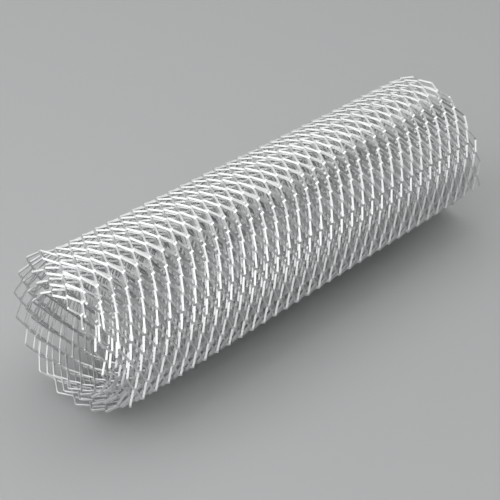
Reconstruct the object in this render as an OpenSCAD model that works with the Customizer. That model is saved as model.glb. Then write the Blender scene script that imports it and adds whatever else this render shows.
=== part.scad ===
// Sheet of raised expanded aluminium mesh, wound into a loose roll that lies on its side.
// The roll's axis runs along X. The origin is on the floor, under the middle of the roll.
// The turns follow a spiral of half circles struck from two centres, half a turn pitch apart.

/* [Sheet] */
// Width of the mesh sheet, which is the length of the roll
sheet_w = 330; // [200:5:500]
// Thickness of the mesh over its twisted strands
mesh_t = 2.8; // [1.5:0.1:3.5]

/* [Winding] */
// Diameter of the open bore inside the first turn
bore_d = 60; // [30:1:90]
// Radial distance from one turn to the next
turn_pitch = 5.2; // [4:0.1:8]
// Half turns wound on
half_turns = 8; // [5:1:14]
// Arc over which the sheet's outer edge stands clear of the turn under it
flap_arc = 16; // [2:1:40]

/* [Ends] */
// Depth to which the gaps between the turns are open at each end
end_depth = 12; // [4:1:40]

/* [Hidden] */
$fn = 96;
// Each end cut starts this far outside the roll
overcut = 1;
// Centre line radius of the first half turn
first_r = (bore_d + mesh_t) / 2;
last = half_turns - 1;
last_r = outer_r(last);
under_r = outer_r(last - 1);
// The sheet's outer edge points this way in the section, and the roll rests on it
edge_angle = last % 2 == 0 ? 180 : 0;
rest_angle = acos(under_r / (under_r + turn_pitch));
// The section's middle, measured from the centre that the roll's underside is struck from
mid_y = turn_pitch * (1 + sin(rest_angle)) / 4;

// Outer radius of one half turn
function outer_r(turn) = first_r + turn * turn_pitch / 2 + mesh_t / 2;
// Even half turns are struck from the bore's centre, odd ones from half a pitch beside it
function centre_x(turn) = turn % 2 * turn_pitch / 2;

// Half disc on the side where a half turn lies
module half_disc(turn, r) {
    translate([centre_x(turn), 0])
        intersection() {
            circle(r);
            translate([-r, turn % 2 == 0 ? 0 : -r]) square([2 * r, r]);
        }
}

// Gap between a half turn and the one that is wound over it
module turn_gap(turn) {
    difference() {
        half_disc(turn, outer_r(turn) + turn_pitch - mesh_t);
        half_disc(turn, outer_r(turn));
    }
}

// Gap under the sheet's outer edge, open on the outside of the roll
module edge_gap() {
    reach = 2 * last_r;
    intersection() {
        turn_gap(last - 2);
        translate([centre_x(last), 0])
            polygon([
                [0, 0],
                reach * [cos(edge_angle), sin(edge_angle)],
                reach * [cos(edge_angle - flap_arc), sin(edge_angle - flap_arc)]
            ]);
    }
}

// Every gap that shows on an end of the roll, from the bore outwards
module end_gaps() {
    half_disc(1, outer_r(1) - mesh_t);
    for (turn = [0 : last - 2]) turn_gap(turn);
}

module roll_section() {
    difference() {
        union() {
            half_disc(last, last_r);
            half_disc(last - 1, under_r);
        }
        circle(d = bore_d);
        edge_gap();
    }
}

// Sets the section down on the floor, with the sheet's outer edge behind the roll
module set_down() {
    translate([-sheet_w / 2, -mid_y, under_r])
        rotate([90, 0, 90])
            mirror([1, 0, 0])
                rotate(270 - rest_angle - edge_angle)
                    translate([-centre_x(last - 1), 0, 0])
                        children();
}

module mesh_roll() {
    color("silver")
        set_down()
            difference() {
                linear_extrude(sheet_w) roll_section();
                translate([0, 0, -overcut]) linear_extrude(end_depth + overcut) end_gaps();
                translate([0, 0, sheet_w - end_depth]) linear_extrude(end_depth + overcut) end_gaps();
            }
}

mesh_roll();
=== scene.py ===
import math

import bpy
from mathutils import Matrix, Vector


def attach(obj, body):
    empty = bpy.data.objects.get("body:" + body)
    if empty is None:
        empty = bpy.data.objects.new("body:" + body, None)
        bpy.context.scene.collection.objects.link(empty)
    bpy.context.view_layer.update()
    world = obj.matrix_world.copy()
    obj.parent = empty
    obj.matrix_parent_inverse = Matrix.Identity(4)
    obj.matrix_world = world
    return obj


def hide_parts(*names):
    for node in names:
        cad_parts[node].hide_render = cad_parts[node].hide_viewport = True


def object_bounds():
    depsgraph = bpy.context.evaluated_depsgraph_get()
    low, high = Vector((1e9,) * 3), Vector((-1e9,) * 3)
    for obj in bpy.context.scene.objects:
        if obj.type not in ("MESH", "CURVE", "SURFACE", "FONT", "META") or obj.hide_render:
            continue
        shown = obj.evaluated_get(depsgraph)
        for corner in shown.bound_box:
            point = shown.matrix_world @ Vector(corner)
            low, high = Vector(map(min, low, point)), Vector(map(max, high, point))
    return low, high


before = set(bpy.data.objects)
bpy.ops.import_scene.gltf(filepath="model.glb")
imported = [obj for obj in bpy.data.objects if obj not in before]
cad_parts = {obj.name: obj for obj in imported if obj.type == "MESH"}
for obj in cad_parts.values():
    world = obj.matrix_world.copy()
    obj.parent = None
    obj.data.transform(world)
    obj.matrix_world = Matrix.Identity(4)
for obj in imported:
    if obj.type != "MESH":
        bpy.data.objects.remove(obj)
cadLow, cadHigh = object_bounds()
print("frame loaded")


def addNode(tree, kind, **settings):
    node = tree.nodes.new(kind)
    for name, value in settings.items():
        setattr(node, name, value)
    return node


def feed(tree, socket, value):
    # a socket is linked, a plain value is written into the input
    if isinstance(value, bpy.types.NodeSocket):
        tree.links.new(value, socket)
    else:
        socket.default_value = value


def calculator(tree):
    # returns a function that adds one math node and gives its result
    def calc(operation, *values):
        node = addNode(tree, "ShaderNodeMath", operation=operation)
        for socket, value in zip(node.inputs, values):
            feed(tree, socket, value)
        return node.outputs[0]
    return calc


def addSocket(tree, name, kind, direction="INPUT"):
    tree.interface.new_socket(name=name, in_out=direction, socket_type=kind)


# The camera looks at the roll as in the photograph, from beyond its near end
cameraView = {
    "place": (0.6618, 0.5815, 0.5701),
    "heading": 222.06,  # degrees from +X towards +Y
    "dip": 31.31,  # degrees below the horizon
    "lens": 119.9,
    "sensor": 36.0,
    "clip": (0.01, 20.0),
}


def makeCamera(view):
    heading = math.radians(view["heading"])
    dip = math.radians(view["dip"])
    forward = Vector((math.cos(dip) * math.cos(heading), math.cos(dip) * math.sin(heading), -math.sin(dip)))
    data = bpy.data.cameras.new("photoCamera")
    data.lens = view["lens"]
    data.sensor_width = view["sensor"]
    data.clip_start, data.clip_end = view["clip"]
    camera = bpy.data.objects.new("photoCamera", data)
    bpy.context.scene.collection.objects.link(camera)
    camera.location = view["place"]
    camera.rotation_mode = "QUATERNION"
    camera.rotation_quaternion = forward.to_track_quat("-Z", "Y")
    bpy.context.scene.camera = camera


makeCamera(cameraView)
print("camera placed")


# Marks of rolling and shearing, shared by the sheet's faces and its cut edges
def makeMetalMarks():
    group = bpy.data.node_groups.new("metalMarks", "ShaderNodeTree")
    addSocket(group, "Stretch", "NodeSocketVector")
    for name in ("Grain Scale", "Grain Detail", "Patch Scale", "Patch Detail", "Dull Patches"):
        addSocket(group, name, "NodeSocketFloat")
    for name in ("Grain", "Patches"):
        addSocket(group, name, "NodeSocketFloat", "OUTPUT")
    given = addNode(group, "NodeGroupInput").outputs
    end = addNode(group, "NodeGroupOutput")
    calc = calculator(group)
    coordinates = addNode(group, "ShaderNodeTexCoord")
    mapping = addNode(group, "ShaderNodeMapping")
    group.links.new(coordinates.outputs["Object"], mapping.inputs["Vector"])
    group.links.new(given["Stretch"], mapping.inputs["Scale"])
    grain = addNode(group, "ShaderNodeTexNoise")
    group.links.new(mapping.outputs["Vector"], grain.inputs["Vector"])
    group.links.new(given["Grain Scale"], grain.inputs["Scale"])
    group.links.new(given["Grain Detail"], grain.inputs["Detail"])
    patches = addNode(group, "ShaderNodeTexNoise")
    group.links.new(coordinates.outputs["Object"], patches.inputs["Vector"])
    group.links.new(given["Patch Scale"], patches.inputs["Scale"])
    group.links.new(given["Patch Detail"], patches.inputs["Detail"])
    masked = calc("MULTIPLY", patches.outputs["Fac"], given["Dull Patches"])
    group.links.new(grain.outputs["Fac"], end.inputs["Grain"])
    group.links.new(masked, end.inputs["Patches"])
    return group


metalMarks = makeMetalMarks()

# Bright rolled face of the sheet, and the duller face that the shear left
aluminiumFinishes = {
    "rolledFace": {
        "light": (0.87, 0.875, 0.88, 1.0),
        "dark": (0.76, 0.765, 0.775, 1.0),
        "roughness": 0.24,
        "grainRoughness": 0.16,
        "patchRoughness": 0.3,
        "bump": 0.12,
        "bumpDepth": 0.0001,
        "marks": {
            "Stretch": (0.25, 1.0, 1.0), "Grain Scale": 1400.0, "Grain Detail": 3.0,
            "Patch Scale": 45.0, "Patch Detail": 2.0, "Dull Patches": 0.3,
        },
    },
    "shearedEdge": {
        "light": (0.8, 0.805, 0.81, 1.0),
        "dark": (0.66, 0.665, 0.675, 1.0),
        "roughness": 0.36,
        "grainRoughness": 0.2,
        "patchRoughness": 0.3,
        "bump": 0.3,
        "bumpDepth": 0.0001,
        "marks": {
            "Stretch": (1.0, 0.3, 0.3), "Grain Scale": 2600.0, "Grain Detail": 3.0,
            "Patch Scale": 45.0, "Patch Detail": 2.0, "Dull Patches": 0.4,
        },
    },
}


def makeAluminium(name, finish):
    material = bpy.data.materials.new(name)
    material.use_nodes = True
    tree = material.node_tree
    shader = tree.nodes["Principled BSDF"]
    shader.inputs["Metallic"].default_value = 1.0
    calc = calculator(tree)
    marks = addNode(tree, "ShaderNodeGroup", node_tree=metalMarks)
    for inputName, value in finish["marks"].items():
        marks.inputs[inputName].default_value = value
    # a Mix node's colour sockets share their names with others, so they go by number
    tint = addNode(tree, "ShaderNodeMix", data_type="RGBA")
    tint.inputs[6].default_value = finish["light"]
    tint.inputs[7].default_value = finish["dark"]
    tree.links.new(marks.outputs["Patches"], tint.inputs[0])
    tree.links.new(tint.outputs[2], shader.inputs["Base Color"])
    rough = calc("MULTIPLY_ADD", marks.outputs["Grain"], finish["grainRoughness"], finish["roughness"])
    rough = calc("ADD", rough, calc("MULTIPLY", marks.outputs["Patches"], finish["patchRoughness"]))
    tree.links.new(rough, shader.inputs["Roughness"])
    bump = addNode(tree, "ShaderNodeBump")
    bump.inputs["Strength"].default_value = finish["bump"]
    bump.inputs["Distance"].default_value = finish["bumpDepth"]
    tree.links.new(marks.outputs["Grain"], bump.inputs["Height"])
    tree.links.new(bump.outputs["Normal"], shader.inputs["Normal"])
    return material


rolledFace = makeAluminium("rolledFace", aluminiumFinishes["rolledFace"])
shearedEdge = makeAluminium("shearedEdge", aluminiumFinishes["shearedEdge"])
print("aluminium finishes made")

diamondsWide = 33
halfDiamondsLong = 119

# The sheet: one slit and drawn piece, in metres and radians
meshSheet = {
    "Diamond Width": (cadHigh.x - cadLow.x) / diamondsWide,
    "Diamond Length": 0.01717,
    "Strand Width": 0.0012,
    "Strand Thickness": 0.0009,
    "Bond Length": 0.0012,
    "Strand Tilt": math.radians(-46),
    "Strand Count": 2 * diamondsWide,
    "Ring Count": 2 * (halfDiamondsLong + 1),
    # the turns nest, so each one holds one diamond more than the turn inside it
    "Nested Radius": 0.03844,
    "Nested Step": 0.0013664,
    "Inner Edge": 0.03895,  # the sheet starts this far along its spiral
    "Straight Start": 1.0444,  # and its free outer edge hangs straight beyond this
    # half circles struck from two centres, as the solid's are
    "First Radius": 0.0336,
    "Radius Step": 0.0022,
    "Half Turns": 8.0,
    "Half Thickness": 0.0014,
    "Edge Angle": math.radians(-64.56),  # end of the last half turn, low on the camera's side
    "Side Offset": -0.001859,
    "Half Length": (cadHigh.x - cadLow.x) / 2,
    # at its near end the roll has a smaller bore, and its turns stand further apart
    "Taper": 0.0026,
    "Taper Step": 0.25,  # share of the taper that each half turn adds
    # the inner turns lie against the back and the underside of the outer ones
    "Outer Share": 0.25,
    "Settle Side": -0.005,
    "Settle Down": 0.006,
    "Settle Fade": 0.35,  # share that is lost towards the far end, where the turns are tighter
    # both rims lean, and the outer turns stand a little towards the near end
    "Lean Side": 0.0045,
    "Lean Up": 0.0028,
    "Turns Step": 0.0018,
    # at the near end a corner stands off at the top, and the underside curls up
    "Near Depth": 0.18,
    "Corner Lift": 0.006,
    "Corner Angle": math.radians(117),
    "Corner Spread": math.radians(11),
    "Curl": 0.006,
    "Curl Angle": math.radians(-70),
    "Curl Sharpness": 4.0,
    # slack between the turns and drift of the diamonds, in waves around and along the roll
    "Slack": 0.003,
    "Drift": 0.005,
    "Waves Around": 0.7,
    "Waves Along": 9.0,
    "Seed": 4.0,
}
cornerMarks = ("across", "through", "ring", "strand")


def storeMark(tree, geometry, name, value):
    store = addNode(tree, "GeometryNodeStoreNamedAttribute", data_type="FLOAT", domain="POINT")
    store.inputs["Name"].default_value = name
    tree.links.new(geometry, store.inputs["Geometry"])
    tree.links.new(value, store.inputs["Value"])
    return store.outputs["Geometry"]


def readMark(tree, name):
    node = addNode(tree, "GeometryNodeInputNamedAttribute", data_type="FLOAT")
    node.inputs["Name"].default_value = name
    return node.outputs["Attribute"]


# One strand is a square tube, with a ring of corners on each side of every bond
def makeStrand(tree, given):
    calc = calculator(tree)
    tube = addNode(tree, "GeometryNodeMeshCylinder", fill_type="NGON")
    tube.inputs["Vertices"].default_value = 4
    tube.inputs["Radius"].default_value = 1.0
    tube.inputs["Depth"].default_value = 1.0
    segments = calc("SUBTRACT", given["Ring Count"], 1.0)
    tree.links.new(segments, tube.inputs["Side Segments"])
    position = addNode(tree, "GeometryNodeInputPosition")
    local = addNode(tree, "ShaderNodeSeparateXYZ")
    tree.links.new(position.outputs[0], local.inputs[0])
    across = calc("SIGN", calc("SUBTRACT", local.outputs["X"], local.outputs["Y"]))
    through = calc("SIGN", calc("ADD", local.outputs["X"], local.outputs["Y"]))
    ring = calc("ROUND", calc("MULTIPLY", calc("ADD", local.outputs["Z"], 0.5), segments))
    strand = storeMark(tree, tube.outputs["Mesh"], "across", across)
    strand = storeMark(tree, strand, "through", through)
    return storeMark(tree, strand, "ring", ring)


# Strands side by side over the width of the sheet
def repeatStrand(tree, given, strand):
    row = addNode(tree, "GeometryNodeMeshLine", mode="OFFSET")
    tree.links.new(given["Strand Count"], row.inputs["Count"])
    row.inputs["Offset"].default_value = (0.0, 0.0, 0.0)
    number = addNode(tree, "GeometryNodeInputIndex").outputs[0]
    strands = addNode(tree, "GeometryNodeInstanceOnPoints")
    tree.links.new(storeMark(tree, row.outputs["Mesh"], "strand", number), strands.inputs["Points"])
    tree.links.new(strand, strands.inputs["Instance"])
    realized = addNode(tree, "GeometryNodeRealizeInstances")
    tree.links.new(strands.outputs["Instances"], realized.inputs["Geometry"])
    return realized.outputs["Geometry"]


# Place of each corner on the flat sheet: along its length, across its width, off its face
def flatPlace(tree, given):
    calc = calculator(tree)
    ring = readMark(tree, "ring")
    strand = readMark(tree, "strand")
    bond = calc("FLOOR", calc("DIVIDE", ring, 2.0))
    ringSide = calc("SUBTRACT", calc("MODULO", ring, 2.0), 0.5)
    along = calc("MULTIPLY", bond, calc("MULTIPLY", given["Diamond Length"], 0.5))
    along = calc("MULTIPLY_ADD", ringSide, given["Bond Length"], along)
    along = calc("MULTIPLY_ADD", given["Bond Length"], 0.5, along)
    parity = calc("MODULO", calc("ADD", bond, strand), 2.0)
    side = calc("SUBTRACT", 1.0, calc("MULTIPLY", parity, 2.0))
    pitch = calc("MULTIPLY", given["Diamond Width"], 0.5)
    tiltCos = calc("COSINE", given["Strand Tilt"])
    tiltSin = calc("SINE", given["Strand Tilt"])
    halfWide = calc("MULTIPLY", given["Strand Width"], 0.5)
    halfThick = calc("MULTIPLY", given["Strand Thickness"], 0.5)
    swing = calc("SUBTRACT", calc("MULTIPLY", pitch, 0.5), calc("MULTIPLY", halfWide, tiltCos))
    middle = calc("MULTIPLY", calc("SUBTRACT", given["Strand Count"], 1.0), 0.5)
    wide = calc("MULTIPLY", calc("SUBTRACT", strand, middle), pitch)
    wide = calc("MULTIPLY_ADD", side, swing, wide)
    lift = calc("MULTIPLY", calc("MULTIPLY", side, -1.0), calc("MULTIPLY", halfWide, tiltSin))
    # the four corners of the tilted strand
    acrossStep = calc("MULTIPLY", readMark(tree, "across"), halfWide)
    throughStep = calc("MULTIPLY", readMark(tree, "through"), halfThick)
    wide = calc("ADD", wide, calc("MULTIPLY", acrossStep, tiltCos))
    wide = calc("SUBTRACT", wide, calc("MULTIPLY", throughStep, tiltSin))
    lift = calc("ADD", lift, calc("MULTIPLY", acrossStep, tiltSin))
    lift = calc("ADD", lift, calc("MULTIPLY", throughStep, tiltCos))
    return along, wide, lift


# Angle wound up to each corner, on a spiral whose turns nest diamond in diamond
def woundAngle(tree, given, bent):
    calc = calculator(tree)
    nested = given["Nested Radius"]
    spent = calc("MULTIPLY", calc("MULTIPLY", given["Nested Step"], 2.0 / math.pi), bent)
    grown = calc("SUBTRACT", calc("SQRT", calc("MULTIPLY_ADD", nested, nested, spent)), nested)
    return calc("MULTIPLY", calc("DIVIDE", grown, given["Nested Step"]), math.pi)


# Slack between the turns, none at the underside, and drift of the diamonds along the roll
def slackAndDrift(tree, given, total, wide, angleSin):
    calc = calculator(tree)
    wavePlace = addNode(tree, "ShaderNodeCombineXYZ")
    tree.links.new(calc("MULTIPLY", total, given["Waves Around"]), wavePlace.inputs["X"])
    tree.links.new(calc("MULTIPLY", wide, given["Waves Along"]), wavePlace.inputs["Y"])
    waves = addNode(tree, "ShaderNodeTexNoise", noise_dimensions="4D")
    waves.inputs["Scale"].default_value = 1.0
    waves.inputs["Detail"].default_value = 1.0
    tree.links.new(wavePlace.outputs[0], waves.inputs["Vector"])
    tree.links.new(given["Seed"], waves.inputs["W"])
    wave = addNode(tree, "ShaderNodeSeparateXYZ")
    tree.links.new(waves.outputs["Color"], wave.inputs[0])
    slack = calc("MULTIPLY", calc("SUBTRACT", wave.outputs["X"], 0.5), given["Slack"])
    slack = calc("MULTIPLY", slack, calc("MULTIPLY_ADD", angleSin, 0.5, 0.5))
    drift = calc("MULTIPLY", calc("SUBTRACT", wave.outputs["Y"], 0.5), given["Drift"])
    return slack, drift


# The near end: its top corner stands off, and its underside curls up
def nearEndShift(tree, given, angle, endShare):
    calc = calculator(tree)
    nearShare = calc("SUBTRACT", endShare, calc("SUBTRACT", 1.0, given["Near Depth"]))
    nearShare = calc("MAXIMUM", calc("DIVIDE", nearShare, given["Near Depth"]), 0.0)
    nearShare = calc("MULTIPLY", nearShare, nearShare)
    cornerTurn = calc("DIVIDE", calc("SUBTRACT", angle, given["Corner Angle"]), given["Corner Spread"])
    corner = calc("EXPONENT", calc("MULTIPLY", calc("MULTIPLY", cornerTurn, cornerTurn), -1.0))
    corner = calc("MULTIPLY", corner, given["Corner Lift"])
    curl = calc("MAXIMUM", calc("COSINE", calc("SUBTRACT", angle, given["Curl Angle"])), 0.0)
    curl = calc("MULTIPLY", calc("POWER", curl, given["Curl Sharpness"]), given["Curl"])
    return calc("MULTIPLY", calc("SUBTRACT", corner, curl), nearShare)


# The winding: half turns struck from two centres in turn, looser towards the near end
def woundPlace(tree, given, along, wide, lift):
    calc = calculator(tree)
    along = calc("ADD", along, given["Inner Edge"])
    bent = calc("MINIMUM", along, given["Straight Start"])
    straight = calc("SUBTRACT", along, bent)
    total = woundAngle(tree, given, bent)
    wholeAngle = calc("MULTIPLY", given["Half Turns"], math.pi)
    angle = calc("ADD", given["Edge Angle"], calc("SUBTRACT", wholeAngle, total))
    angleSin = calc("SINE", angle)
    angleCos = calc("COSINE", angle)
    lastTurn = calc("SUBTRACT", given["Half Turns"], 1.0)
    turn = calc("MINIMUM", calc("FLOOR", calc("DIVIDE", total, math.pi)), lastTurn)
    endShare = calc("DIVIDE", wide, given["Half Length"])
    looser = calc("MULTIPLY", endShare, given["Taper"])
    step = calc("MULTIPLY_ADD", looser, given["Taper Step"], given["Radius Step"])
    first = calc("SUBTRACT", given["First Radius"], looser)
    radius = calc("MULTIPLY_ADD", turn, step, first)
    slack, drift = slackAndDrift(tree, given, total, wide, angleSin)
    endShift = nearEndShift(tree, given, angle, endShare)
    reach = calc("ADD", calc("ADD", radius, lift), calc("ADD", slack, endShift))

    # both centres stand so that the roll's underside meets the floor at every place along it
    underTurn = calc("SUBTRACT", lastTurn, 1.0)
    underRadius = calc("MULTIPLY_ADD", underTurn, step, first)
    underRadius = calc("ADD", underRadius, given["Half Thickness"])
    underCentre = calc("MODULO", calc("SUBTRACT", lastTurn, turn), 2.0)
    fromUnder = calc("MULTIPLY", calc("SUBTRACT", 1.0, underCentre), step)
    centreY = calc("MULTIPLY_ADD", fromUnder, calc("COSINE", given["Edge Angle"]), given["Side Offset"])
    centreZ = calc("MULTIPLY_ADD", fromUnder, calc("SINE", given["Edge Angle"]), underRadius)

    # the inner turns settle, less so towards the far end
    outward = calc("DIVIDE", total, wholeAngle)
    inward = calc("SUBTRACT", calc("SUBTRACT", 1.0, outward), given["Outer Share"])
    inward = calc("MAXIMUM", calc("DIVIDE", inward, calc("SUBTRACT", 1.0, given["Outer Share"])), 0.0)
    settled = calc("MINIMUM", calc("MULTIPLY_ADD", endShare, given["Settle Fade"], 1.0), 1.0)
    inward = calc("MULTIPLY", inward, settled)
    centreY = calc("MULTIPLY_ADD", inward, given["Settle Side"], centreY)
    centreZ = calc("SUBTRACT", centreZ, calc("MULTIPLY", inward, given["Settle Down"]))

    # past the last bend the sheet goes on straight, off the turn under it
    centreY = calc("MULTIPLY_ADD", straight, angleSin, centreY)
    centreZ = calc("SUBTRACT", centreZ, calc("MULTIPLY", straight, angleCos))

    # the rims lean, the diamonds drift, and the turns stand in steps
    lean = calc("MULTIPLY", angleCos, given["Lean Side"])
    lean = calc("MULTIPLY_ADD", angleSin, given["Lean Up"], lean)
    stepped = calc("MULTIPLY", outward, given["Turns Step"])
    sideways = calc("ADD", calc("ADD", lean, drift), stepped)
    placed = addNode(tree, "ShaderNodeCombineXYZ")
    tree.links.new(calc("ADD", wide, sideways), placed.inputs["X"])
    tree.links.new(calc("MULTIPLY_ADD", reach, angleCos, centreY), placed.inputs["Y"])
    tree.links.new(calc("MULTIPLY_ADD", reach, angleSin, centreZ), placed.inputs["Z"])
    return placed.outputs[0]


# Flat faces, in the rolled finish, with the two cut sides of each strand in the sheared one
def finishFaces(tree, given, geometry):
    calc = calculator(tree)
    flat = addNode(tree, "GeometryNodeSetShadeSmooth")
    flat.inputs["Shade Smooth"].default_value = False
    tree.links.new(geometry, flat.inputs["Geometry"])
    faces = addNode(tree, "GeometryNodeSetMaterial")
    tree.links.new(flat.outputs["Geometry"], faces.inputs["Geometry"])
    tree.links.new(given["Rolled Face"], faces.inputs["Material"])
    edges = addNode(tree, "GeometryNodeSetMaterial")
    tree.links.new(faces.outputs["Geometry"], edges.inputs["Geometry"])
    tree.links.new(given["Sheared Edge"], edges.inputs["Material"])
    # a cut side is a face whose corners all lie on one side across the strand
    onFace = addNode(tree, "GeometryNodeFieldOnDomain", data_type="FLOAT", domain="FACE")
    tree.links.new(readMark(tree, "across"), onFace.inputs[0])
    cutSide = calc("GREATER_THAN", calc("ABSOLUTE", onFace.outputs[0]), 0.5)
    tree.links.new(cutSide, edges.inputs["Selection"])
    return edges.outputs["Geometry"]


def makeMeshTree(sheet):
    tree = bpy.data.node_groups.new("expandedMeshRoll", "GeometryNodeTree")
    addSocket(tree, "Geometry", "NodeSocketGeometry")
    for name, value in sheet.items():
        addSocket(tree, name, "NodeSocketInt" if isinstance(value, int) else "NodeSocketFloat")
    addSocket(tree, "Rolled Face", "NodeSocketMaterial")
    addSocket(tree, "Sheared Edge", "NodeSocketMaterial")
    addSocket(tree, "Geometry", "NodeSocketGeometry", "OUTPUT")
    given = addNode(tree, "NodeGroupInput").outputs
    end = addNode(tree, "NodeGroupOutput")
    strands = repeatStrand(tree, given, makeStrand(tree, given))
    along, wide, lift = flatPlace(tree, given)
    wound = addNode(tree, "GeometryNodeSetPosition")
    tree.links.new(strands, wound.inputs["Geometry"])
    tree.links.new(woundPlace(tree, given, along, wide, lift), wound.inputs["Position"])
    finished = finishFaces(tree, given, wound.outputs["Geometry"])
    tree.links.new(finished, end.inputs["Geometry"])
    return tree


def makeMeshRoll(sheet):
    tree = makeMeshTree(sheet)
    carrier = bpy.data.objects.new("meshCarrier", bpy.data.meshes.new("meshCarrier"))
    bpy.context.scene.collection.objects.link(carrier)
    modifier = carrier.modifiers.new("expandedMeshRoll", "NODES")
    modifier.node_group = tree
    identifiers = {s.name: s.identifier for s in tree.interface.items_tree if s.in_out == "INPUT"}
    for name, value in sheet.items():
        modifier[identifiers[name]] = value
    modifier[identifiers["Rolled Face"]] = rolledFace
    modifier[identifiers["Sheared Edge"]] = shearedEdge
    evaluated = carrier.evaluated_get(bpy.context.evaluated_depsgraph_get())
    mesh = bpy.data.meshes.new_from_object(evaluated)
    carrier.modifiers.remove(modifier)
    bpy.data.objects.remove(carrier)
    for name in cornerMarks:
        if name in mesh.attributes:
            mesh.attributes.remove(mesh.attributes[name])
    mesh.name = "meshSheet"
    roll = bpy.data.objects.new("meshSheet", mesh)
    bpy.context.scene.collection.objects.link(roll)
    return roll


meshRoll = makeMeshRoll(meshSheet)
triangles = sum(len(p.vertices) - 2 for p in meshRoll.data.polygons)
print("mesh roll made:", triangles, "triangles")
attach(meshRoll, "root")
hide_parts("mesh_roll")

# Plain pale floor
floorLook = {"colour": (0.5, 0.505, 0.51, 1.0), "roughness": 0.65, "reach": 8.0}


def makeFloor(look):
    mesh = bpy.data.meshes.new("studioFloor")
    reach = look["reach"]
    corners = [(-reach, -reach, 0), (reach, -reach, 0), (reach, reach, 0), (-reach, reach, 0)]
    mesh.from_pydata(corners, [], [(0, 1, 2, 3)])
    floor = bpy.data.objects.new("studioFloor", mesh)
    bpy.context.scene.collection.objects.link(floor)
    material = bpy.data.materials.new("studioFloor")
    material.use_nodes = True
    shader = material.node_tree.nodes["Principled BSDF"]
    shader.inputs["Base Color"].default_value = look["colour"]
    shader.inputs["Roughness"].default_value = look["roughness"]
    mesh.materials.append(material)


makeFloor(floorLook)

# Soft studio light: large panels beyond the near end and overhead, a weaker one behind the roll
studioLights = {
    "overNearEnd": {"place": (1.2, 0.08, 1.1), "size": (2.6, 1.4), "power": 17.0},
    "overhead": {"place": (-0.5, -0.1, 1.5), "size": (2.6, 2.2), "power": 21.0},
    "behindRoll": {"place": (0.5, -1.7, 0.75), "size": (2.6, 1.0), "power": 8.0},
}
lampsAim = (0.0, 0.0, 0.04)  # just under the roll's middle
roomBrightness = 0.04


def makeLight(name, light):
    data = bpy.data.lights.new(name, "AREA")
    data.shape = "RECTANGLE"
    data.size, data.size_y = light["size"]
    data.energy = light["power"]
    lamp = bpy.data.objects.new(name, data)
    bpy.context.scene.collection.objects.link(lamp)
    lamp.location = light["place"]
    towards = Vector(lampsAim) - Vector(light["place"])
    lamp.rotation_mode = "QUATERNION"
    lamp.rotation_quaternion = towards.to_track_quat("-Z", "Y")


for lightName, lightValues in studioLights.items():
    makeLight(lightName, lightValues)

# A dim white room around it all
world = bpy.data.worlds.new("studioRoom")
world.use_nodes = True
world.node_tree.nodes["Background"].inputs["Color"].default_value = (1.0, 1.0, 1.0, 1.0)
world.node_tree.nodes["Background"].inputs["Strength"].default_value = roomBrightness
bpy.context.scene.world = world
bpy.context.scene.view_settings.view_transform = "Standard"
print("studio set")
